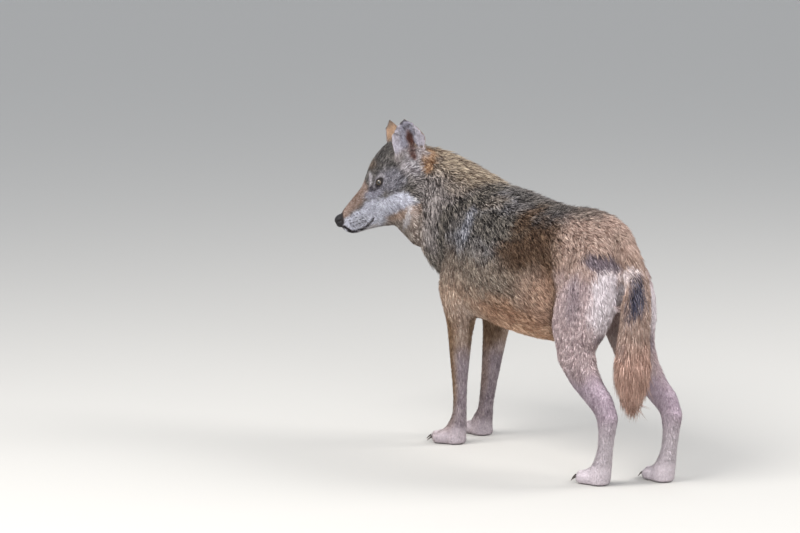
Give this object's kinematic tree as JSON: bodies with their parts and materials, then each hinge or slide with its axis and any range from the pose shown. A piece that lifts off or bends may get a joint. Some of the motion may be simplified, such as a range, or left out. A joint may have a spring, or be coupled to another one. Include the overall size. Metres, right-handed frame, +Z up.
{
  "type": "grey wolf figure",
  "caption": "Life-size standing wolf in its coat, body straight, head turned and lowered to its left, one forefoot ahead and tail hanging.",
  "frame": {"origin": "on the floor under the middle of the wolf's bounding box", "axes": "+Z up; the wolf's body faces -Y and its left side is +X"},
  "size_m": [0.3948, 1.1076, 0.8572],
  "materials": {
    "fur": "dense agouti coat, grey-brown with buff flanks",
    "nose": "black, finely pebbled, moist",
    "eye": "amber, wet gloss",
    "claw": "dark horn"
  },
  "bodies": {
    "root": {"claw_front_left_1": "claw", "claw_front_left_2": "claw", "claw_front_left_3": "claw", "claw_front_left_4": "claw", "claw_front_right_1": "claw", "claw_front_right_2": "claw", "claw_front_right_3": "claw", "claw_front_right_4": "claw", "claw_hind_left_1": "claw", "claw_hind_left_2": "claw", "claw_hind_left_3": "claw", "claw_hind_left_4": "claw", "claw_hind_right_1": "claw", "claw_hind_right_2": "claw", "claw_hind_right_3": "claw", "claw_hind_right_4": "claw", "ear_left": "fur", "ear_right": "fur", "eye_left": "eye", "eye_right": "eye", "head": "fur", "leg_front_left": "fur", "leg_front_right": "fur", "leg_hind_left": "fur", "leg_hind_right": "fur", "neck": "fur", "nose": "nose", "tail": "fur", "trunk": "fur"}
  },
  "joints": []
}
